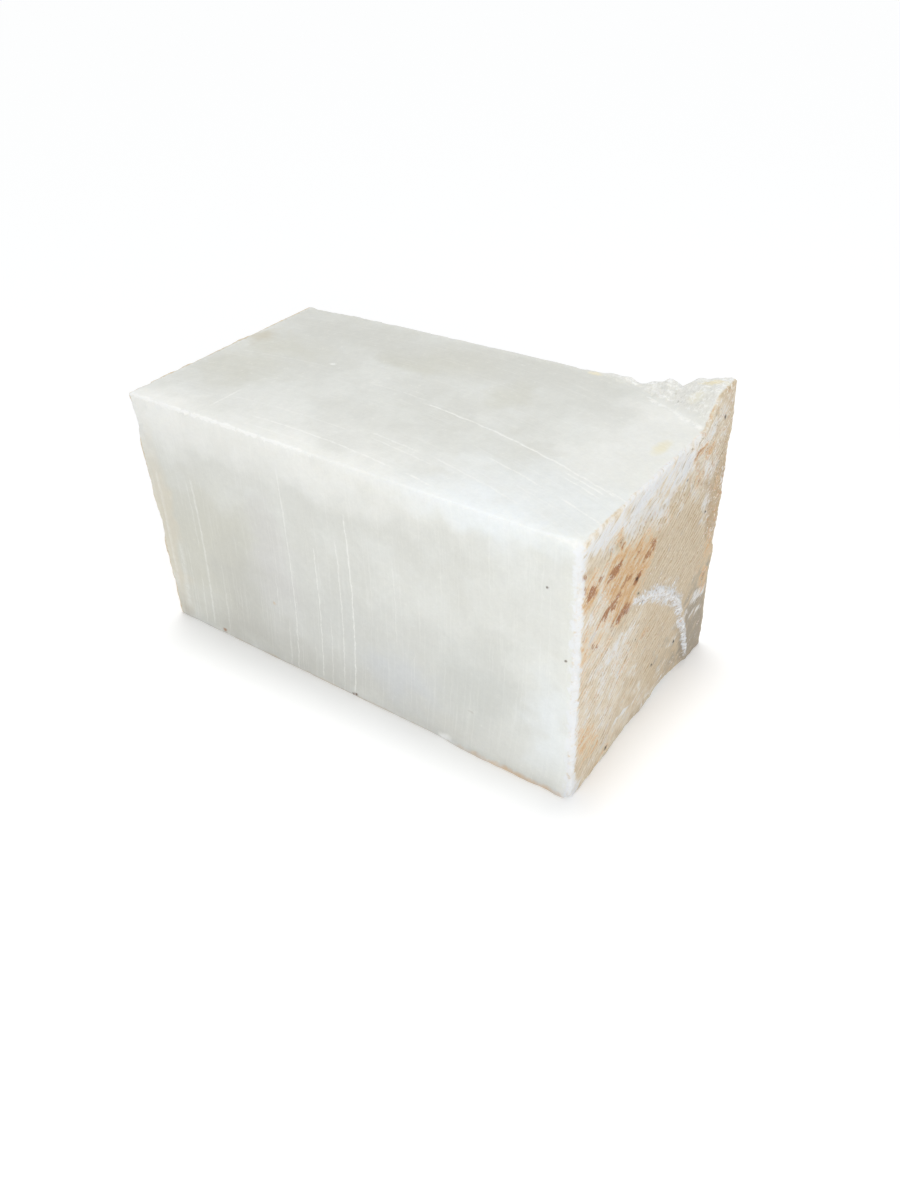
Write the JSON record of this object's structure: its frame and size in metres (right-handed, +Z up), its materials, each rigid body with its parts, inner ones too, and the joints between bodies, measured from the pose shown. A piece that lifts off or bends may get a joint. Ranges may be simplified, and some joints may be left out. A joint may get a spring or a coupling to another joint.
{
  "type": "alabaster block",
  "caption": "Sawn block of pale translucent alabaster with rough tan ends and a broken lip at one top corner, lying on its flat underside.",
  "frame": {"origin": "middle of the bounding box's underside, on the surface that the block rests on", "axes": "+X along the block's length towards the end with the broken lip, +Y towards the back face, +Z up"},
  "size_m": [0.2886, 0.1567, 0.166],
  "materials": {
    "stone": "sawn and unpolished"
  },
  "bodies": {
    "root": {"alabaster_block": "stone"}
  },
  "joints": []
}
